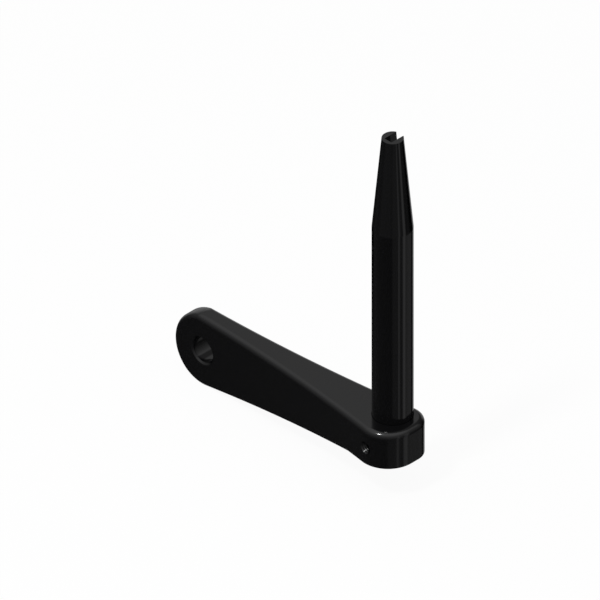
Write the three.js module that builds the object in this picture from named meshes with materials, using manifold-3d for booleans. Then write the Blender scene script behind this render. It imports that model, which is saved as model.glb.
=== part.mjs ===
// Aero spoke holder. A slotted steel rod keeps a bladed spoke from twisting, and stands in the
// head of a short aluminium arm, where a set screw holds it. The arm hangs by the hole in its end.
//
// Millimetres, +Z up. The origin is on the head's flat underside, on the rod's axis. The arm runs
// towards -X, and the set screw comes in from -Y.

import * as THREE from 'three';
import { mergeVertices } from 'three/addons/utils/BufferGeometryUtils.js';
import Module from 'manifold-3d';

// Rod
const rodDiameter = 6;
const rodHeight = 48; // tip above the head's top face
const rodFootChamfer = 0.3;
const taperLength = 16;
const tipDiameter = 3.2;

// Spoke slot: open at the tip and at the rod's back, +Y, where its floor leans out through the taper
const slotWidth = 1.4;
const slotFrontWall = 0.65; // left standing in front of the slot, at the tip
const slotLean = THREE.MathUtils.degToRad(20); // between the floor and the rod's axis

// Head
const headHeight = 5.9;
const headWidth = 9.25;
const headReach = 4.7; // rod axis to the flat end
const headHeel = 3.9; // rod axis to the edge where the underside turns down along the arm
const rodOffset = 1; // rod axis behind the arm's centre line, which leaves more thread for the screw
const boreDepth = 5;
const screwSideCorner = 4.6;
const backSideCorner = 3.2;
const topFillet = 0.9;

// Arm
const holeSpacing = 35.75; // rod axis to hanging hole
const endRadius = 5.65;
const endThickness = 3.15;
const endFilletRunOut = 0.5; // widens the fillet's circle round the end, so that it fades out below
const hangingHoleDiameter = 4;
const hangingHoleChamfer = 0.25;

// Set screw
const screwDiameter = 2;
const screwLength = 1.6;
const screwChamfer = 0.2;
const screwDrop = 3.2; // screw axis below the head's top face
const socketAcrossFlats = 0.9;
const socketDepth = 0.9;

// Fits
const boreClearance = 0.05; // round the rod, and under its foot
const screwClearance = 0.1; // round the screw, and between its point and the rod

// Facets
const roundSegments = 64;
const smallRoundSegments = 32;
const arcSegments = 12; // an arc in a profile gets twice as many
const filletSegments = 6;

const rodRadius = rodDiameter / 2;
const tipRadius = tipDiameter / 2;
const screwRadius = screwDiameter / 2;
const centreLine = -rodOffset;
const armEnd = holeSpacing + endRadius;
const armBottom = headHeight - 2 * endRadius;
const margin = 1; // how far a cutting tool reaches past what it cuts

const wasm = await Module();
wasm.setup();

function toSolid(geometry) {
  const bare = geometry.index ? geometry.toNonIndexed() : geometry.clone();
  bare.deleteAttribute('normal');
  bare.deleteAttribute('uv');
  const merged = mergeVertices(bare, 1e-5);
  return new wasm.Manifold(new wasm.Mesh({
    numProp: 3,
    vertProperties: new Float32Array(merged.attributes.position.array),
    triVerts: new Uint32Array(merged.index.array),
  }));
}

function toMesh(name, solid, material) {
  const { vertProperties, triVerts } = solid.getMesh();
  const geometry = new THREE.BufferGeometry();
  geometry.setAttribute('position', new THREE.BufferAttribute(vertProperties, 3));
  geometry.setIndex(new THREE.BufferAttribute(triVerts, 1));
  geometry.computeVertexNormals();
  const mesh = new THREE.Mesh(geometry, material);
  mesh.name = name;
  return mesh;
}

// A solid of revolution about Z, from [radius, height] pairs that start and end on the axis.
function turned(profile, segments) {
  const points = profile.map(([radius, height]) => new THREE.Vector2(radius, height));
  return new THREE.LatheGeometry(points, segments).rotateX(Math.PI / 2);
}

// A solid of revolution about a line along Y, through (x, z), with its heights counted along -Y.
function turnedAlongY(profile, segments, x, z) {
  const points = profile.map(([radius, height]) => new THREE.Vector2(radius, -height));
  return new THREE.LatheGeometry(points.reverse(), segments).translate(x, 0, z);
}

// An outline in X and Z, made solid from y = low to y = high.
function extrudedAlongY(shape, low, high) {
  const settings = { depth: high - low, bevelEnabled: false, curveSegments: arcSegments };
  return new THREE.ExtrudeGeometry(shape, settings).rotateX(Math.PI / 2).translate(0, high, 0);
}

// One flank of the arm, in plan, with distances out from the centre line. It runs parallel to the
// centre line at the arm's end, and sweeps out in one hollow arc that is tangent to the head's corner.
function flank(cornerRadius) {
  const cornerX = headReach - cornerRadius;
  const cornerOut = headWidth / 2 - cornerRadius;
  const run = cornerX + armEnd;
  const rise = endThickness / 2 - cornerOut;
  const radius = (run ** 2 + rise ** 2 - cornerRadius ** 2) / (2 * (cornerRadius - rise));
  const arcOut = endThickness / 2 + radius;
  const turn = Math.atan2(arcOut - cornerOut, -armEnd - cornerX);
  const outAt = (x) => arcOut - Math.sqrt(radius ** 2 - (x + armEnd) ** 2);
  return { cornerRadius, cornerX, cornerOut, radius, arcOut, turn, outAt };
}

const screwFlank = flank(screwSideCorner);
const backFlank = flank(backSideCorner);

// The arm and head seen from above, running on past the arm's end.
function planOutline() {
  const pastEnd = -armEnd - topFillet - margin;
  const back = backFlank;
  const front = screwFlank;
  const shape = new THREE.Shape();
  shape.moveTo(headReach, centreLine - front.cornerOut);
  shape.lineTo(headReach, centreLine + back.cornerOut);
  shape.absarc(back.cornerX, centreLine + back.cornerOut, back.cornerRadius, 0, back.turn, false);
  shape.absarc(-armEnd, centreLine + back.arcOut, back.radius, back.turn - Math.PI, -Math.PI / 2, true);
  shape.lineTo(pastEnd, centreLine + endThickness / 2);
  shape.lineTo(pastEnd, centreLine - endThickness / 2);
  shape.absarc(-armEnd, centreLine - front.arcOut, front.radius, Math.PI / 2, Math.PI - front.turn, true);
  shape.absarc(front.cornerX, centreLine - front.cornerOut, front.cornerRadius, -front.turn, 0, false);
  return shape;
}

// The arm and head seen from the side: a flat top, a round end, and an underside that is flat under
// the head and then runs straight down to touch the round end.
function sideOutline() {
  const endX = -holeSpacing;
  const endZ = headHeight - endRadius;
  const reach = Math.hypot(endX + headHeel, endZ);
  const touch = Math.atan2(-endZ, -headHeel - endX) - Math.acos(endRadius / reach);
  const above = headHeight + margin;
  const shape = new THREE.Shape();
  shape.moveTo(endX, above);
  shape.lineTo(endX, headHeight);
  shape.absarc(endX, endZ, endRadius, Math.PI / 2, touch + 2 * Math.PI, false);
  shape.lineTo(-headHeel, 0);
  shape.lineTo(headReach + margin, 0);
  shape.lineTo(headReach + margin, above);
  return shape;
}

// What the fillet leaves of the arm: all of it up to the hanging hole, and from there a disc with
// rounded rims. The disc touches the round end at its upper left and stands clear of it below.
function roundedEnd() {
  const off = endFilletRunOut * Math.SQRT1_2;
  const radius = endRadius + endFilletRunOut;
  const front = -centreLine + screwFlank.outAt(-holeSpacing);
  const back = -centreLine - backFlank.outAt(-holeSpacing);
  const rim = (turn, middle, side) => [
    radius - topFillet * (1 - Math.sin(turn)),
    middle + side * topFillet * Math.cos(turn),
  ];
  const turns = Array.from({ length: filletSegments + 1 }, (_, i) => (i / filletSegments) * Math.PI / 2);
  const disc = turnedAlongY([
    [0, back],
    ...turns.map((turn) => rim(turn, back + topFillet, -1)),
    ...turns.reverse().map((turn) => rim(turn, front - topFillet, 1)),
    [0, front],
  ], roundSegments, -holeSpacing + off, headHeight - endRadius - off);
  const past = headReach + margin;
  const body = new THREE.BoxGeometry(holeSpacing + past, 2 * headWidth, 2 * (headHeight + 2 * endRadius))
    .translate((past - holeSpacing) / 2, centreLine, 0);
  return toSolid(disc).add(toSolid(body));
}

function makeHandle() {
  const blankHeight = headHeight - armBottom + margin + topFillet;
  const blank = new THREE.ExtrudeGeometry(planOutline(), {
    depth: blankHeight - 2 * topFillet,
    curveSegments: arcSegments,
    bevelThickness: topFillet,
    bevelSize: topFillet,
    bevelOffset: -topFillet,
    bevelSegments: filletSegments,
  }).translate(0, 0, headHeight - blankHeight + topFillet);
  const sideWidth = headWidth + margin;
  const side = extrudedAlongY(sideOutline(), centreLine - sideWidth, centreLine + sideWidth);

  const boreRadius = rodRadius + boreClearance;
  const bore = turned([
    [0, headHeight - boreDepth],
    [boreRadius, headHeight - boreDepth],
    [boreRadius, headHeight + margin],
    [0, headHeight + margin],
  ], roundSegments);

  const screwHoleRadius = screwRadius + screwClearance;
  const screwHole = turnedAlongY([
    [0, 0],
    [screwHoleRadius, 0],
    [screwHoleRadius, headWidth],
    [0, headWidth],
  ], smallRoundSegments, 0, headHeight - screwDrop);

  const holeRadius = hangingHoleDiameter / 2;
  const holeFront = -centreLine + screwFlank.outAt(-holeSpacing);
  const holeBack = -centreLine - backFlank.outAt(-holeSpacing);
  const mouthReach = hangingHoleChamfer + margin;
  const hangingHole = turnedAlongY([
    [0, holeBack - margin],
    [holeRadius + mouthReach, holeBack - margin],
    [holeRadius, holeBack + hangingHoleChamfer],
    [holeRadius, holeFront - hangingHoleChamfer],
    [holeRadius + mouthReach, holeFront + margin],
    [0, holeFront + margin],
  ], roundSegments, -holeSpacing, headHeight - endRadius);

  return toSolid(blank)
    .intersect(toSolid(side))
    .intersect(roundedEnd())
    .subtract(toSolid(bore))
    .subtract(toSolid(screwHole))
    .subtract(toSolid(hangingHole));
}

function makeRod() {
  const foot = headHeight - boreDepth + boreClearance;
  const tip = headHeight + rodHeight;
  const bar = turned([
    [0, foot],
    [rodRadius - rodFootChamfer, foot],
    [rodRadius, foot + rodFootChamfer],
    [rodRadius, tip - taperLength],
    [tipRadius, tip],
    [0, tip],
  ], roundSegments);

  // The slot from the side, in Y and Z: everything behind a floor that leans out towards the back.
  const floorAt = (y) => tip - (y + tipRadius - slotFrontWall) / Math.tan(slotLean);
  const back = rodRadius + margin;
  const front = -(tipRadius - slotFrontWall) - margin * Math.tan(slotLean);
  const profile = new THREE.Shape();
  profile.moveTo(front, floorAt(front));
  profile.lineTo(back, floorAt(back));
  profile.lineTo(back, floorAt(front));
  const slot = extrudedAlongY(profile, -slotWidth / 2, slotWidth / 2).rotateZ(Math.PI / 2);

  return toSolid(bar).subtract(toSolid(slot));
}

function makeSetScrew() {
  const point = rodRadius + screwClearance;
  const outer = point + screwLength;
  const axisZ = headHeight - screwDrop;
  const body = turnedAlongY([
    [0, point],
    [screwRadius - screwChamfer, point],
    [screwRadius, point + screwChamfer],
    [screwRadius, outer - screwChamfer],
    [screwRadius - screwChamfer, outer],
    [0, outer],
  ], smallRoundSegments, 0, axisZ);
  const socketRadius = socketAcrossFlats / Math.sqrt(3);
  const socket = turnedAlongY([
    [0, outer - socketDepth],
    [socketRadius, outer - socketDepth],
    [socketRadius, outer + margin],
    [0, outer + margin],
  ], 6, 0, axisZ);
  return toSolid(body).subtract(toSolid(socket));
}

const blackAnodised = new THREE.MeshStandardMaterial({ color: 0x1c1c1d, roughness: 0.32, metalness: 0.6 });
const blackenedSteel = new THREE.MeshStandardMaterial({ color: 0x131314, roughness: 0.16, metalness: 0.9 });
const screwSteel = new THREE.MeshStandardMaterial({ color: 0x1d1d1f, roughness: 0.35, metalness: 0.9 });

const holder = new THREE.Group();
holder.add(toMesh('handle', makeHandle(), blackAnodised));
holder.add(toMesh('rod', makeRod(), blackenedSteel));
holder.add(toMesh('set_screw', makeSetScrew(), screwSteel));

export default holder;
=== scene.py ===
# %% [markdown]
# # A spoke holder, dressed in Blender
#
# The object is a small tool from a wheel builder's bench. A black steel rod with a slotted tip
# stands in the head of a black aluminium arm, and a tiny set screw holds it there. The tip keeps a
# bladed spoke from twisting, and the arm is what the hand turns against.
#
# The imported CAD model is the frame: it says where every piece is. The visible pieces are worked out
# again here with numpy, in the same places, with finer curves and with the screw thread that the
# solids leave out.

import bpy
import numpy as np
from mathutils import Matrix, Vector


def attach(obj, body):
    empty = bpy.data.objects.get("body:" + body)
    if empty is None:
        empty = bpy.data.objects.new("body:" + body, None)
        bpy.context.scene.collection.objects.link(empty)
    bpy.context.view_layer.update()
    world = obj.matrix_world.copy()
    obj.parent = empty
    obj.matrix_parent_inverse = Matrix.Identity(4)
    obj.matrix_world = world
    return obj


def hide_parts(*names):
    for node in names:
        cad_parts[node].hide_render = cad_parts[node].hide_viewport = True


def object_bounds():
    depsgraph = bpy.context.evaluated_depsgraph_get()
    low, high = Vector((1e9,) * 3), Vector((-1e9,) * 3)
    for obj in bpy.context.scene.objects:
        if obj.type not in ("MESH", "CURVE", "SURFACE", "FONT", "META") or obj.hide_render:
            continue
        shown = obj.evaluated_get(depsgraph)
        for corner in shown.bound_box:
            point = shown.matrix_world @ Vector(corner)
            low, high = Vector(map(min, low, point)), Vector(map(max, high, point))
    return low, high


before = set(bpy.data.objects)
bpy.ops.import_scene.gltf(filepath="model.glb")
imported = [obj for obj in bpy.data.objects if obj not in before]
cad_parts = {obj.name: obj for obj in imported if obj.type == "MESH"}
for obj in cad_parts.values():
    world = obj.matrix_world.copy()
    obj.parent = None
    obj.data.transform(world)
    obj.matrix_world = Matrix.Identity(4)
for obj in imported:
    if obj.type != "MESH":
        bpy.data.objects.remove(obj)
cad_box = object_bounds()
MM = 0.001  # the meshes are worked out in millimetres and put down in metres

# %% [markdown]
# ## Meshes from arrays
#
# Every surface below is a grid of points: rows of rings, or an outline carried along a line. Blender
# takes such a grid as a list of points and a list of faces. A ring that closes on itself joins its
# last point to its first, and flat lids close the two ends, so that each shape is a solid that a
# Boolean modifier can add, keep or cut away. Ready-made cylinders and boxes could be edited into
# shape instead, but then the sizes would be hidden in a string of edits. Here each shape is a formula.


# %% Rings to a closed solid
def ring_solid(name, rings):
    """Skins a (rows, points, 3) array of rings: quads from each ring to the next, and a flat lid on
    the first and the last ring. Rings run anticlockwise, seen from the last row's side."""
    rows, count, _ = rings.shape
    index = np.arange(rows * count).reshape(rows, count)
    ahead = np.roll(index, -1, axis=1)
    quads = np.stack([index[:-1], ahead[:-1], ahead[1:], index[1:]], axis=-1).reshape(-1, 4)
    faces = quads.tolist() + [index[0][::-1].tolist(), index[-1].tolist()]
    mesh = bpy.data.meshes.new(name)
    mesh.from_pydata(rings.reshape(-1, 3).tolist(), [], faces)
    piece = bpy.data.objects.new(name, mesh)
    bpy.context.collection.objects.link(piece)
    return piece


def revolved(name, profile, segments, centre=(0, 0, 0), along="z"):
    """Turns a profile of (radius, height) rows about an axis through centre: each row becomes the
    ring (r cos t, r sin t, h), and for along="y" the heights count along -Y."""
    turn = np.linspace(0, 2 * np.pi, segments, endpoint=False)
    radius, height = np.asarray(profile, float).T[..., None]
    across, up = radius * np.cos(turn), radius * np.sin(turn)
    high = np.broadcast_to(height, across.shape)
    order = (across, up, high) if along == "z" else (across, -high, up)
    return ring_solid(name, np.stack(order, axis=-1) + centre)


def prism(name, outline, axis, ends):
    """Carries a flat outline along an axis (0 for X, 1 for Y, 2 for Z) from one end to the other.
    The outline's two numbers are the other two axes, in order."""
    flat = np.insert(np.asarray(outline, float), axis, 0.0, axis=-1)
    rings = np.stack([flat, flat])
    rings[..., axis] = np.asarray(ends, float)[:, None]
    return ring_solid(name, rings)


# %% Cut and finish
def carve(piece, tool, operation):
    """Applies a Boolean modifier with a throwaway tool, and leaves a plain mesh behind."""
    step = piece.modifiers.new("carve", "BOOLEAN")
    step.operation = operation
    step.object = tool
    step.solver = "EXACT"
    bpy.context.view_layer.update()
    done = piece.evaluated_get(bpy.context.evaluated_depsgraph_get())
    piece.data = bpy.data.meshes.new_from_object(done)
    piece.modifiers.clear()
    bpy.data.objects.remove(tool)


def finish_piece(piece, body, node_name, crease_degrees=30):
    """Scales a piece from millimetres, smooths it between creases, and lets it stand for its CAD
    node and ride on its body."""
    mesh = piece.data
    mesh.name = piece.name
    co = np.empty(len(mesh.vertices) * 3, np.float32)
    mesh.vertices.foreach_get("co", co)
    mesh.vertices.foreach_set("co", co * MM)
    mesh.update()
    mesh.shade_smooth()
    mesh.set_sharp_from_angle(angle=np.radians(crease_degrees))
    weighted = piece.modifiers.new("normals", "WEIGHTED_NORMAL")
    weighted.keep_sharp = True
    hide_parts(node_name)
    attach(piece, body)
    print(piece.name, len(mesh.vertices), "points,", len(mesh.polygons), "faces")


# %% [markdown]
# ## The handle
#
# The real one is milled from an aluminium bar. From above, its flanks sweep out from a thin end to
# a rounded head in two hollow arcs. From the side, the top is flat, the far end is a half circle,
# and the underside runs straight up to the flat foot of the head.
#
# It could be a box that is pushed into shape and bevelled, but a bevel has one width all along, and
# this rim fades out round the far end. So the shape is what is left where three solids meet: the
# plan carried upwards with a rounded rim, the side view carried across, and a round-rimmed disc that
# takes the rim's rounding round the far end.

# %% Sizes of the handle, in millimetres
HEAD_HEIGHT = 5.9
HEAD_WIDTH = 9.25
HEAD_REACH = 4.7  # from the rod's axis to the head's end
HEAD_HEEL = 3.9  # from the rod's axis back to where the underside starts to slope
CENTRE_LINE = -1.0  # the arm's middle, in front of the rod's axis
SCREW_CORNER = 4.6  # radius of the head's corner on the screw's side
BACK_CORNER = 3.2  # and on the other side
HOLE_SPACING = 35.75  # from the rod's axis to the hanging hole
END_RADIUS = 5.65  # the half circle at the far end, seen from the side
END_THICKNESS = 3.15
RIM = 0.9  # radius of the rounding along the top edge
RIM_RUN_OUT = 0.5  # the disc is this much larger than the far end, so its rounding fades out below
ARM_END = HOLE_SPACING + END_RADIUS
END_Z = HEAD_HEIGHT - END_RADIUS
PAST = 3.0  # rough shapes and cutters run this far past the faces that they make
FAR = 30.0  # well outside the handle
print("handle:", round(HEAD_REACH + ARM_END, 2), "mm long and", HEAD_WIDTH, "mm wide")


# %% The plan
def arc(centre, radius, start, stop, count):
    """Points of a circular arc, and the unit vectors that point away from its centre."""
    turn = np.linspace(start, stop, count)
    outward = np.stack([np.cos(turn), np.sin(turn)], axis=-1)
    return np.asarray(centre) + radius * outward, outward


def flank(corner_radius, side, count=96):
    """One flank from the head to the thin end: the head's corner arc, then a hollow arc that is
    tangent to the corner and parallel to the centre line at the end. Its radius follows from the
    tangency: (R + c)^2 = run^2 + (R + rise)^2, with c the corner's radius."""
    corner = np.array([HEAD_REACH - corner_radius, HEAD_WIDTH / 2 - corner_radius])
    run, rise = corner[0] + ARM_END, END_THICKNESS / 2 - corner[1]
    radius = (run**2 + rise**2 - corner_radius**2) / (2 * (corner_radius - rise))
    hollow = np.array([-ARM_END, END_THICKNESS / 2 + radius])
    turn = np.arctan2(*(hollow - corner)[::-1])
    points, outward = arc(corner, corner_radius, 0, turn, count // 2)
    sweep, inward = arc(hollow, radius, turn - np.pi, -np.pi / 2, count)
    points = np.vstack([points, sweep[1:]])
    outward = np.vstack([outward, -inward[1:]])
    mirror = np.array([1, side])
    return points * mirror + [0, CENTRE_LINE], outward * mirror


def plan_outline():
    """The closed plan, anticlockwise, with its outward directions. It runs on past the arm's end,
    where its two corners have mitred directions."""
    back, back_out = flank(BACK_CORNER, 1)
    front, front_out = flank(SCREW_CORNER, -1)
    end_x, half_end = -ARM_END - PAST, END_THICKNESS / 2
    end = np.array([[end_x, CENTRE_LINE + half_end], [end_x, CENTRE_LINE - half_end]])
    points = np.vstack([back, end, front[::-1]])
    outward = np.vstack([back_out, [[-1, 1], [-1, -1]], front_out[::-1]])
    return points, outward


plan, plan_out = plan_outline()
print("plan:", len(plan), "points")


# %% The plan carried upwards, with its rounded rim
def rim_offsets(steps=12):
    """How far in, and how far up, a quarter round of radius RIM goes."""
    turn = np.linspace(0, np.pi / 2, steps + 1)
    return RIM * (1 - np.cos(turn)), RIM * (np.sin(turn) - 1)


rim_in, rim_up = rim_offsets()
ring_in = np.append(0, rim_in)
ring_z = np.append(-FAR, HEAD_HEIGHT + rim_up)
rings = np.empty((len(ring_in), len(plan), 3))
rings[..., :2] = plan - ring_in[:, None, None] * plan_out
rings[..., 2] = ring_z[:, None]
handle = ring_solid("black_arm", rings)
print("plan carried upwards:", len(handle.data.polygons), "faces")

# %% The side view carried across
to_heel = np.array([HOLE_SPACING - HEAD_HEEL, -END_Z])
touch = np.arctan2(to_heel[1], to_heel[0]) - np.arccos(END_RADIUS / np.hypot(*to_heel))
round_end, _ = arc((-HOLE_SPACING, END_Z), END_RADIUS, np.pi / 2, touch + 2 * np.pi, 128)
past_head, past_top = HEAD_REACH + PAST, HEAD_HEIGHT + PAST
corners = [[-HEAD_HEEL, 0], [past_head, 0], [past_head, past_top], [-HOLE_SPACING, past_top]]
side_outline = np.vstack([round_end, corners])
carve(handle, prism("side_view", side_outline, 1, (FAR, -FAR)), "INTERSECT")
print("underside touches the round end at", round(float(np.degrees(touch)), 1), "degrees")

# %% The rounding round the far end
fine_flank, _ = flank(SCREW_CORNER, -1, count=2000)
half_at_hole = CENTRE_LINE - np.interp(-HOLE_SPACING, fine_flank[::-1, 0], fine_flank[::-1, 1])
disc_radius = END_RADIUS + RIM_RUN_OUT - rim_in
back_rim = np.stack([disc_radius[::-1], -(half_at_hole + rim_up[::-1])], axis=-1)
front_rim = np.stack([disc_radius, half_at_hole + rim_up], axis=-1)
shift = RIM_RUN_OUT * np.sqrt(0.5)  # the disc touches the end's circle between top and far side
disc_centre = (-HOLE_SPACING + shift, CENTRE_LINE, END_Z - shift)
far_end = revolved("far_end", np.vstack([back_rim, front_rim]), 256, disc_centre, "y")
head_side = [[-HOLE_SPACING, -FAR], [FAR, -FAR], [FAR, FAR], [-HOLE_SPACING, FAR]]
carve(far_end, prism("kept_whole", head_side, 2, (-FAR, FAR)), "UNION")
carve(handle, far_end, "INTERSECT")
print("arm is", round(float(2 * half_at_hole), 2), "mm thick at the hanging hole")

# %% [markdown]
# ## The holes
#
# Three holes go into the handle: the rod's blind bore from above, the hanging hole with a broken
# edge across the far end, and the screw's hole into the head's side. That last one is tapped. Its
# thread could be a bump in the material, but light that falls into the hole shows its real ridges.
# So its cutter is a thread: a cylinder whose radius rises and falls with the place along the axis
# minus the turn, which makes the ridge climb one pitch each time round.

# %% Sizes of the holes, in millimetres
ROD_RADIUS = 3.0
BORE_CLEARANCE = 0.05
BORE_DEPTH = 5.0
HANGING_RADIUS = 2.0
HANGING_CHAMFER = 0.25
PITCH = 0.4
THREAD_MIDDLE = 0.955  # radius half-way up the thread
THREAD_DEPTH = 0.15
THREAD_PLAY = 0.03  # the hole is this much wider, and the screw this much thinner
TAP_START, TAP_STOP = 2.0, 8.0  # from inside the bore to outside the head, from the rod's axis
SCREW_DROP = 3.2  # from the head's top to the screw's axis
SCREW_Z = HEAD_HEIGHT - SCREW_DROP
BORE_FOOT = HEAD_HEIGHT - BORE_DEPTH
print("screw's axis is", round(SCREW_Z, 2), "mm above the head's foot")


# %% A screw thread
def thread_rows(start, stop, play, steps=12, segments=64):
    """Radius of a V-shaped screw thread on a grid of distance by turn, with steps rows to a pitch:
    r = middle + play + depth / pi * arcsin(cos(2 pi * distance / pitch - turn))."""
    distance = np.linspace(start, stop, round((stop - start) / PITCH * steps) + 1)
    turn = np.linspace(0, 2 * np.pi, segments, endpoint=False)
    wave = np.arcsin(np.cos(2 * np.pi * distance[:, None] / PITCH - turn))
    return distance, turn, THREAD_MIDDLE + play + THREAD_DEPTH / np.pi * wave


def thread_solid(name, distance, turn, radius):
    """Puts a thread's radius grid round the screw's axis, with the distances along -Y."""
    rings = np.empty(radius.shape + (3,))
    rings[..., 0] = radius * np.cos(turn)
    rings[..., 1] = -distance[:, None]
    rings[..., 2] = SCREW_Z + radius * np.sin(turn)
    return ring_solid(name, rings)


# %% Cut the holes
bore = ROD_RADIUS + BORE_CLEARANCE
bore_profile = [(bore, BORE_FOOT), (bore, HEAD_HEIGHT + PAST)]
carve(handle, revolved("bore", bore_profile, 192), "DIFFERENCE")
flare = HANGING_RADIUS + PAST
half_straight = half_at_hole - HANGING_CHAMFER
hanging_profile = [
    (flare, -half_straight - PAST),
    (HANGING_RADIUS, -half_straight),
    (HANGING_RADIUS, half_straight),
    (flare, half_straight + PAST),
]
hole_centre = (-HOLE_SPACING, CENTRE_LINE, END_Z)
carve(handle, revolved("hanging_hole", hanging_profile, 192, hole_centre, "y"), "DIFFERENCE")
tapping = thread_solid("tapping", *thread_rows(TAP_START, TAP_STOP, THREAD_PLAY))
carve(handle, tapping, "DIFFERENCE")
finish_piece(handle, "handle", "handle")

# %% [markdown]
# ## The rod
#
# A turned steel pin: a small chamfer at its foot, a straight shank and a slender cone at its tip. A
# narrow slot is milled into the tip from the back, with a floor that leans out through the cone.
# A cylinder with a scaled end would do from afar, but the faint line where the cone starts needs
# its exact height. So the pin is a profile turned about its axis, as on a lathe. Extra rows close
# to each change of direction keep the shading crisp there.

# %% Sizes of the rod, in millimetres
ROD_HEIGHT = 48.0  # from the head's top to the tip
TIP_RADIUS = 1.6
TAPER_LENGTH = 15.4  # 0.6 shorter than the solid's cone, as the shoulder's line shows in the photograph
SHOULDER_ROUND = 0.1  # half the length over which the shank turns into the cone
FOOT_CHAMFER = 0.3
SLOT_WIDTH = 1.4
SLOT_FRONT_WALL = 0.65  # what the slot leaves standing at the front of the tip
SLOT_LEAN = np.radians(20)  # the slot's floor, from upright
TIP_Z = HEAD_HEIGHT + ROD_HEIGHT
SHOULDER_Z = TIP_Z - TAPER_LENGTH
ROD_FOOT = BORE_FOOT + BORE_CLEARANCE
print("cone starts", round(SHOULDER_Z - HEAD_HEIGHT, 2), "mm above the head")

# %% Turn the rod and mill its slot
slope = (ROD_RADIUS - TIP_RADIUS) / TAPER_LENGTH
profile = [
    (ROD_RADIUS - FOOT_CHAMFER, ROD_FOOT),
    (ROD_RADIUS, ROD_FOOT + FOOT_CHAMFER),
    (ROD_RADIUS, HEAD_HEIGHT),
    (ROD_RADIUS, SHOULDER_Z - SHOULDER_ROUND),
    (ROD_RADIUS - slope * SHOULDER_ROUND / 4, SHOULDER_Z),
    (ROD_RADIUS - slope * SHOULDER_ROUND, SHOULDER_Z + SHOULDER_ROUND),
    (TIP_RADIUS, TIP_Z),
]
rod = revolved("slotted_rod", profile, 256)
floor_at_tip = SLOT_FRONT_WALL - TIP_RADIUS
slot_y = np.array([floor_at_tip - PAST * np.tan(SLOT_LEAN), ROD_RADIUS + PAST])
slot_z = TIP_Z - (slot_y - floor_at_tip) / np.tan(SLOT_LEAN)
section = [[slot_y[0], slot_z[0]], [slot_y[1], slot_z[1]], [slot_y[1], slot_z[0]]]
carve(rod, prism("slot", section, 0, (-SLOT_WIDTH / 2, SLOT_WIDTH / 2)), "DIFFERENCE")
finish_piece(rod, "rod", "rod")

# %% [markdown]
# ## The set screw
#
# A headless screw, thinner than a match, sunk below the surface of the head. It has the same thread
# as its hole, a little smaller all round, and a hexagonal socket for the key. A plain pin would do
# for what can be seen of it at rest, but it comes out of its hole when it is unscrewed, so it gets
# its real thread.

# %% Sizes of the set screw, in millimetres
SCREW_POINT = 3.1  # from the rod's axis to the screw's point
SCREW_LENGTH = 1.6
SCREW_END_RADIUS = 0.8  # of both ends, from which the chamfers rise
SOCKET_FLATS = 0.9
SOCKET_DEPTH = 0.9
DRILL_RADIUS, DRILL_DEPTH = 0.08, 0.2  # the drill's blunt cone under the socket
SCREW_OUTER = SCREW_POINT + SCREW_LENGTH
print("screw is sunk", round(HEAD_WIDTH / 2 - CENTRE_LINE - SCREW_OUTER, 3), "mm below the head's side")

# %% Cut the thread and the socket
distance, turn, radius = thread_rows(SCREW_POINT, SCREW_OUTER, -THREAD_PLAY)
from_end = np.minimum(distance - distance[0], distance[-1] - distance)
radius = np.minimum(radius, (SCREW_END_RADIUS + from_end)[:, None])
screw = thread_solid("hex_set_screw", distance, turn, radius)
socket_radius = SOCKET_FLATS / np.sqrt(3)
socket_floor = SCREW_OUTER - SOCKET_DEPTH
socket_profile = [
    (DRILL_RADIUS, socket_floor - DRILL_DEPTH),
    (socket_radius, socket_floor),
    (socket_radius, SCREW_OUTER + PAST),
]
carve(screw, revolved("socket", socket_profile, 6, (0, 0, SCREW_Z), "y"), "DIFFERENCE")
finish_piece(screw, "set_screw", "set_screw")

# %% [markdown]
# ## Finishes
#
# All three pieces are black, but not the same black. The arm is aluminium with a dyed and sealed
# oxide skin, smooth enough to mirror the room darkly. The rod is ground steel, blackened in a hot
# bath and oiled, and shines like dark glass. The screw has the duller oxide of bought screws.
#
# A plain colour would look like plastic, and a painted texture would show seams round the rod. The
# materials below are worked out from the place on the piece in millimetres, so their grain keeps
# its size. The skins are oxides and not bare metal, so Metallic stays at 0 and the shine is the
# skin's own.


# %% Nodes and colours
def linear(hex_colour):
    """Turns an sRGB hex value such as #2b2b2c into the linear colour that shaders take."""
    srgb = np.array([int(hex_colour[k:k + 2], 16) for k in (1, 3, 5)]) / 255
    straight = np.where(srgb <= 0.04045, srgb / 12.92, ((srgb + 0.055) / 1.055) ** 2.4)
    return (*straight.tolist(), 1.0)


def node(tree, kind, links=None, **settings):
    """Adds one node: settings named like an input set its value, others set the node's own
    properties, and links maps an input's name or number to the output or value that feeds it."""
    made = tree.nodes.new(kind)
    for name, value in settings.items():
        title = name.replace("_", " ")
        if title in made.inputs:
            made.inputs[title].default_value = value
        else:
            setattr(made, name, value)
    for name, source in (links or {}).items():
        if isinstance(source, bpy.types.NodeSocket):
            tree.links.new(source, made.inputs[name])
        else:
            made.inputs[name].default_value = source
    return made


def new_material(name):
    """An empty node material."""
    made = bpy.data.materials.new(name)
    made.use_nodes = True
    made.node_tree.nodes.clear()
    return made, made.node_tree


def dress(piece, material):
    """Gives a piece its one material."""
    piece.data.materials.clear()
    piece.data.materials.append(material)
    print(piece.name, "wears", material.name)


MIX_A, MIX_B, MIX_RESULT = 6, 7, 2  # a Mix node's colour inputs and its colour output
BUMP_STRENGTH = 0.05

# %% [markdown]
# ### The arm's skin
#
# Anodising grows a clear oxide on the aluminium, which is then dyed and sealed. It could be one black
# with one roughness, but the metal's grain lies under it, so the shine is never quite even. One noise
# of the grain's size drives both roughness and bump, and a wider one clouds the dye.

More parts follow.
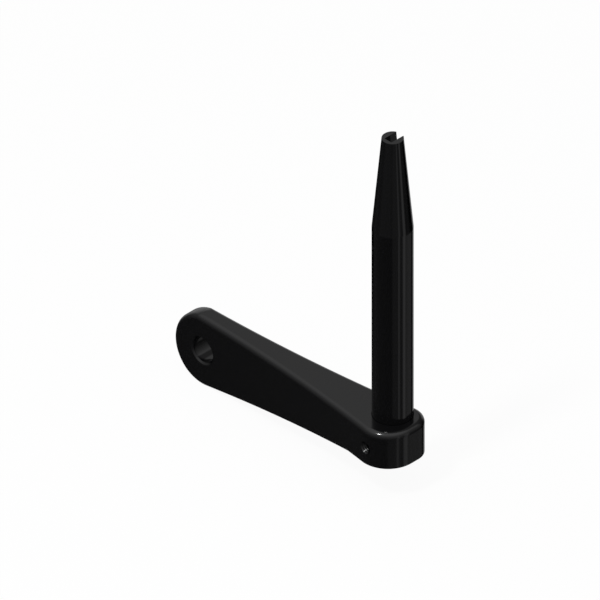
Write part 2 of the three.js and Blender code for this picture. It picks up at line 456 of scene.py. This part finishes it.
# %% Black anodised aluminium
GRAIN = 0.25  # in millimetres; the real grain is about 0.05, drawn coarser so that it shows
GRAIN_HEIGHT = 0.005
DYE_CLOUD = 6.0
SEALED_ROUGHNESS = (0.10, 0.18)


def black_anodised_aluminium():
    """A clear oxide skin, dyed black and sealed until it shines, with the grain of the bar under it.
    The dye takes a little unevenly."""
    made, tree = new_material("black_anodised_aluminium")
    place = node(tree, "ShaderNodeTexCoord").outputs["Object"]
    grain = node(tree, "ShaderNodeTexNoise", {"Vector": place}, Scale=1 / (GRAIN * MM), Detail=3.0)
    cloud = node(tree, "ShaderNodeTexNoise", {"Vector": place}, Scale=1 / (DYE_CLOUD * MM), Detail=2.0)
    dye = {"Factor": cloud.outputs["Fac"], MIX_A: linear("#050506"), MIX_B: linear("#070708")}
    colour = node(tree, "ShaderNodeMix", dye, data_type="RGBA")
    rough = node(tree, "ShaderNodeMapRange", {"Value": grain.outputs["Fac"]},
                 To_Min=SEALED_ROUGHNESS[0], To_Max=SEALED_ROUGHNESS[1])
    bump = node(tree, "ShaderNodeBump", {"Height": grain.outputs["Fac"]},
                Strength=BUMP_STRENGTH, Distance=GRAIN_HEIGHT * MM)
    skin = node(tree, "ShaderNodeBsdfPrincipled",
                {"Base Color": colour.outputs[MIX_RESULT], "Roughness": rough.outputs["Result"],
                 "Normal": bump.outputs["Normal"]})
    node(tree, "ShaderNodeOutputMaterial", {"Surface": skin.outputs["BSDF"]})
    return made


dress(handle, black_anodised_aluminium())

# %% [markdown]
# ### The two steels
#
# The rod is ground between wheels and the screw is cut, and both are blackened in a bath of hot
# salts and oiled. The rings that grinding leaves could be a wave, but a wave is too regular. So they
# are a noise that is drawn out across the axis. The rod and the screw share one function, because
# they differ only in how dark, how rough and how shiny they are.

# %% Blackened steel
RING_SPACING = 0.2  # in millimetres; the real rings are finer, drawn coarser so that they just show
RING_SQUEEZE = 0.05  # multiplies the coordinates across the axis, which draws the noise out 20 times
OXIDE_CLOUD = 4.0
ROUGHNESS_SPREAD = 0.03


def blackened_steel(name, hex_dark, hex_light, roughness, line_height, shine):
    """Hot-blackened steel under a film of oil, with fine rings one above the other along Z and a
    faint cloudiness in the blackening. line_height is in millimetres."""
    made, tree = new_material(name)
    place = node(tree, "ShaderNodeTexCoord").outputs["Object"]
    squeezed = node(tree, "ShaderNodeMapping", {"Vector": place},
                    Scale=(RING_SQUEEZE, RING_SQUEEZE, 1.0))
    grinding = node(tree, "ShaderNodeTexNoise", {"Vector": squeezed.outputs["Vector"]},
                    Scale=1 / (RING_SPACING * MM), Detail=2.0)
    cloud = node(tree, "ShaderNodeTexNoise", {"Vector": place},
                 Scale=1 / (OXIDE_CLOUD * MM), Detail=2.0)
    oxide = {"Factor": cloud.outputs["Fac"], MIX_A: linear(hex_dark), MIX_B: linear(hex_light)}
    colour = node(tree, "ShaderNodeMix", oxide, data_type="RGBA")
    rough = node(tree, "ShaderNodeMapRange", {"Value": grinding.outputs["Fac"]},
                 To_Min=roughness - ROUGHNESS_SPREAD, To_Max=roughness + ROUGHNESS_SPREAD)
    bump = node(tree, "ShaderNodeBump", {"Height": grinding.outputs["Fac"]},
                Strength=BUMP_STRENGTH, Distance=line_height * MM)
    skin = node(tree, "ShaderNodeBsdfPrincipled",
                {"Base Color": colour.outputs[MIX_RESULT], "Roughness": rough.outputs["Result"],
                 "Normal": bump.outputs["Normal"]}, Specular_IOR_Level=shine)
    node(tree, "ShaderNodeOutputMaterial", {"Surface": skin.outputs["BSDF"]})
    return made


dress(rod, blackened_steel("ground_black_steel", "#030304", "#050506",
                           roughness=0.08, line_height=0.002, shine=0.6))
dress(screw, blackened_steel("black_oxide_steel", "#0e0e0f", "#141415",
                             roughness=0.25, line_height=0.006, shine=0.5))

# %% [markdown]
# ## Floor
#
# The tool is shown on white, with next to no shadow. A sheet of white paper under it could be lit
# until it is white, but then the tool would be lit too much as well. So the camera sees the paper
# as white, apart from a small share that takes light and shade and keeps a faint shadow. Mirror
# rays go through the paper to the studio: black faces that mirrored a white floor would look grey.

# %% The white paper
SHADOW = 0.06  # the share of the paper that takes light and shade
FLOOR_REACH = 1.5  # in metres
FLOOR_GAP = 0.2 * MM  # keeps the paper just clear of the arm

floor_z = cad_box[0][2] - FLOOR_GAP
square = FLOOR_REACH * np.array([[-1, -1], [1, -1], [1, 1], [-1, 1]])
floor_mesh = bpy.data.meshes.new("floor")
floor_mesh.from_pydata([(x, y, floor_z) for x, y in square], [], [(0, 1, 2, 3)])
floor = bpy.data.objects.new("floor", floor_mesh)
bpy.context.collection.objects.link(floor)
floor.visible_glossy = False

paper, tree = new_material("white_paper")
rays = node(tree, "ShaderNodeLightPath").outputs
seen = node(tree, "ShaderNodeMath", {0: rays["Is Camera Ray"], 1: rays["Is Transmission Ray"]},
            operation="MAXIMUM")
kept = node(tree, "ShaderNodeMath", {0: seen.outputs[0], 1: 1 - SHADOW}, operation="MULTIPLY")
matte = node(tree, "ShaderNodeBsdfDiffuse", Color=linear("#f2f2f2"))
white = node(tree, "ShaderNodeEmission", Strength=1.0)
mixed = node(tree, "ShaderNodeMixShader",
             {0: kept.outputs[0], 1: matte.outputs[0], 2: white.outputs[0]})
node(tree, "ShaderNodeOutputMaterial", {"Surface": mixed.outputs[0]})
dress(floor, paper)

# %% [markdown]
# ## Studio
#
# A shiny black thing has hardly any colour of its own, and what is seen on it is the room. So the
# room decides how it looks. It could be built of lamps and boards, but a world that is a formula of
# direction is plainer and the same in every pose: a soft dome, bright above and dark below, and
# a few dim boards that stand round the tool and draw the upright strips on the rod and the head.
# Behind it hangs a white sheet in half light, which gives the far rims their pale lines.
#
# Heights below are sines: 1 is straight up, 0 is level and -1 is straight down. The camera looks
# down on the tool, so upright walls mirror what lies below the level.

# %% The soft dome
DOME_LEAN = (0.05, -0.05, 1.0)  # it is brightest a little in front of straight above
DOME_DARK = -0.65  # the height at which it is black
DOME_FADE = 2.3  # how fast it darkens downwards
OVERHEAD = 0.12  # a panel above adds this much
OVERHEAD_EDGE = (0.55, 0.8)  # the heights between which the panel's soft edge lies

world = bpy.data.worlds.new("studio")
bpy.context.scene.world = world
world.use_nodes = True
tree = world.node_tree
tree.nodes.clear()
direction = node(tree, "ShaderNodeTexCoord").outputs["Generated"]
axes = node(tree, "ShaderNodeSeparateXYZ", {"Vector": direction}).outputs
lean = node(tree, "ShaderNodeVectorMath", {0: direction, 1: DOME_LEAN}, operation="DOT_PRODUCT")
height = node(tree, "ShaderNodeMapRange", {"Value": lean.outputs["Value"]}, From_Min=DOME_DARK)
fade = node(tree, "ShaderNodeMath", {0: height.outputs[0], 1: DOME_FADE}, operation="POWER")
panel = node(tree, "ShaderNodeMapRange", {"Value": lean.outputs["Value"]},
             interpolation_type="SMOOTHSTEP", From_Min=OVERHEAD_EDGE[0],
             From_Max=OVERHEAD_EDGE[1], To_Max=OVERHEAD)
dome = node(tree, "ShaderNodeMath", {0: fade.outputs[0], 1: panel.outputs[0]}, operation="ADD")
print("dome leans by", DOME_LEAN[:2])

# %% The boards
BOARDS = [  # bearing of the middle, half width and soft edge in degrees from +X, and level
    (-55, 115, 12, 0.05),  # the dim wall in front
    (-20, 26, 6, 0.06),  # a wide grey board
    (-10, 4, 3, 0.20),  # a narrow strip
    (20, 8, 4, 0.30),  # a brighter strip
    (117, 20, 5, 0.40),  # a white board behind
]
LOW_BOARD = (52, 26, 6, 0.12)  # leans on the floor, lower than the others
HIGH_BOARD = (-85, 35, 12, 0.04)  # hangs with its foot as high as the low board's top
LOW_BOARD_TOP = (-0.555, -0.52)  # the heights between which the soft edge of both lies
BOARD_TOPS = (0.1, 0.5)  # the heights between which all boards fade out
FLAG = (95, 30, 8, 0.7)  # black cloth that takes this share of the dome away

bearing = node(tree, "ShaderNodeMath", {0: axes["Y"], 1: axes["X"]}, operation="ARCTAN2")


def board(middle, half_width, edge, level):
    """A level by bearing: full up to half a width from the middle, less an edge, and none past it by
    an edge."""
    middle, half_width, edge = np.radians((middle, half_width, edge)).tolist()
    away = node(tree, "ShaderNodeMath", {0: bearing.outputs[0], 1: middle}, operation="SUBTRACT")
    away = node(tree, "ShaderNodeMath", {0: away.outputs[0]}, operation="ABSOLUTE")
    made = node(tree, "ShaderNodeMapRange", {"Value": away.outputs[0]},
                interpolation_type="SMOOTHSTEP", From_Min=half_width - edge,
                From_Max=half_width + edge, To_Min=level, To_Max=0.0)
    return made.outputs[0]


print("studio:", len(BOARDS) + 2, "boards and a flag")

# %% Dome and boards together
under = node(tree, "ShaderNodeMapRange", {"Value": axes["Z"]}, interpolation_type="SMOOTHSTEP",
             From_Min=LOW_BOARD_TOP[0], From_Max=LOW_BOARD_TOP[1], To_Min=1.0, To_Max=0.0)
over = node(tree, "ShaderNodeMath", {0: 1.0, 1: under.outputs[0]}, operation="SUBTRACT")
boards = node(tree, "ShaderNodeMath", {0: board(*LOW_BOARD), 1: under.outputs[0]},
              operation="MULTIPLY")
boards = node(tree, "ShaderNodeMath",
              {0: board(*HIGH_BOARD), 1: over.outputs[0], 2: boards.outputs[0]},
              operation="MULTIPLY_ADD")
for stand in BOARDS:
    boards = node(tree, "ShaderNodeMath", {0: boards.outputs[0], 1: board(*stand)},
                  operation="ADD")
below_tops = node(tree, "ShaderNodeMapRange", {"Value": axes["Z"]},
                  interpolation_type="SMOOTHSTEP", From_Min=BOARD_TOPS[0],
                  From_Max=BOARD_TOPS[1], To_Min=1.0, To_Max=0.0)
unflagged = node(tree, "ShaderNodeMath", {0: 1.0, 1: board(*FLAG)}, operation="SUBTRACT")
above = node(tree, "ShaderNodeMath", {0: dome.outputs[0], 1: unflagged.outputs[0]},
             operation="MULTIPLY")
room = node(tree, "ShaderNodeMath",
            {0: boards.outputs[0], 1: below_tops.outputs[0], 2: above.outputs[0]},
            operation="MULTIPLY_ADD")
studio = node(tree, "ShaderNodeBackground", {"Strength": room.outputs[0]}, Color=(1, 1, 1, 1))
print("room:", len(tree.nodes), "nodes")

# %% The white sheet behind
SHEET_LEVEL = 0.43  # half light, as mirror rays see it; the camera sees plain white
SHEET_SIDE = np.radians((85, 105)).tolist()  # the bearings between which its soft edge lies
SHEET_HEM = (-0.6, -0.1)  # the heights between which it fades out downwards

sheet_side = node(tree, "ShaderNodeMapRange", {"Value": bearing.outputs[0]},
                  interpolation_type="SMOOTHSTEP", From_Min=SHEET_SIDE[0],
                  From_Max=SHEET_SIDE[1], To_Max=SHEET_LEVEL)
hem = node(tree, "ShaderNodeMapRange", {"Value": axes["Z"]}, interpolation_type="SMOOTHSTEP",
           From_Min=SHEET_HEM[0], From_Max=SHEET_HEM[1])
rays = node(tree, "ShaderNodeLightPath").outputs
sheet = below_tops.outputs[0]
for share in (sheet_side.outputs[0], hem.outputs[0], rays["Is Glossy Ray"]):
    sheet = node(tree, "ShaderNodeMath", {0: sheet, 1: share}, operation="MULTIPLY").outputs[0]
for ray in ("Is Camera Ray", "Is Transmission Ray"):
    sheet = node(tree, "ShaderNodeMath", {0: sheet, 1: rays[ray]}, operation="MAXIMUM").outputs[0]
backdrop = node(tree, "ShaderNodeBackground", Color=(1, 1, 1, 1), Strength=1.0)
mixed = node(tree, "ShaderNodeMixShader",
             {0: sheet, 1: studio.outputs[0], 2: backdrop.outputs[0]})
node(tree, "ShaderNodeOutputWorld", {"Surface": mixed.outputs[0]})
print("sheet level:", SHEET_LEVEL)

# %% [markdown]
# ## Lamp
#
# The head's rim has a single bright glint. A brighter dome could give it, but would pale every face
# as well. One small softbox shows mostly there, because a rounded rim mirrors it in one place.

# %% The softbox
LAMP_SIZE = 0.05  # in metres
LAMP_WATTS = 0.8
LAMP_DISTANCE = 0.45  # in metres
LAMP_DIRECTION = (-0.015, -0.48, 0.877)

lamp = bpy.data.lights.new("softbox", "AREA")
lamp.shape = "SQUARE"
lamp.size = LAMP_SIZE
lamp.energy = LAMP_WATTS
softbox = bpy.data.objects.new("softbox", lamp)
bpy.context.collection.objects.link(softbox)
to_lamp = Vector(LAMP_DIRECTION).normalized()
softbox.location = to_lamp * LAMP_DISTANCE
softbox.rotation_euler = to_lamp.to_track_quat("Z", "Y").to_euler()
print("softbox at", [round(v, 3) for v in softbox.location])

# %% [markdown]
# ## Camera
#
# In the photograph, edges that are parallel on the tool stay parallel, so a long lens would only come
# near. The camera is orthographic. It looks down along the diagonal of a cube, and is placed so that
# the rod's foot and the scale agree with the photograph.

# %% The camera
PICTURE = 600  # pixels
PIXELS_PER_MM = 7.03
ROD_FOOT_PIXEL = (392.65, 413.3)  # where the rod's axis meets the head's top, from the top left
CAMERA_DISTANCE = 0.5  # in metres
CAMERA_CLIP = (0.01, 5.0)  # in metres

lens = bpy.data.cameras.new("camera")
lens.type = "ORTHO"
lens.ortho_scale = PICTURE / PIXELS_PER_MM * MM
lens.clip_start, lens.clip_end = CAMERA_CLIP
camera = bpy.data.objects.new("camera", lens)
bpy.context.collection.objects.link(camera)
bpy.context.scene.camera = camera
to_camera = Vector((1, -1, 1)).normalized()
right = Vector((1, 1, 0)).normalized()
up = to_camera.cross(right)
off_right, off_down = ((PICTURE / 2 - p) / PIXELS_PER_MM * MM for p in ROD_FOOT_PIXEL)
middle = Vector((0, 0, HEAD_HEIGHT * MM)) + right * off_right - up * off_down
camera.location = middle + to_camera * CAMERA_DISTANCE
camera.rotation_euler = to_camera.to_track_quat("Z", "Y").to_euler()
print("picture is", round(lens.ortho_scale / MM, 2), "mm wide")

# %% [markdown]
# ## Finish
#
# The Standard view keeps colours as they are written.

# %% The end
bpy.context.scene.view_settings.view_transform = "Standard"
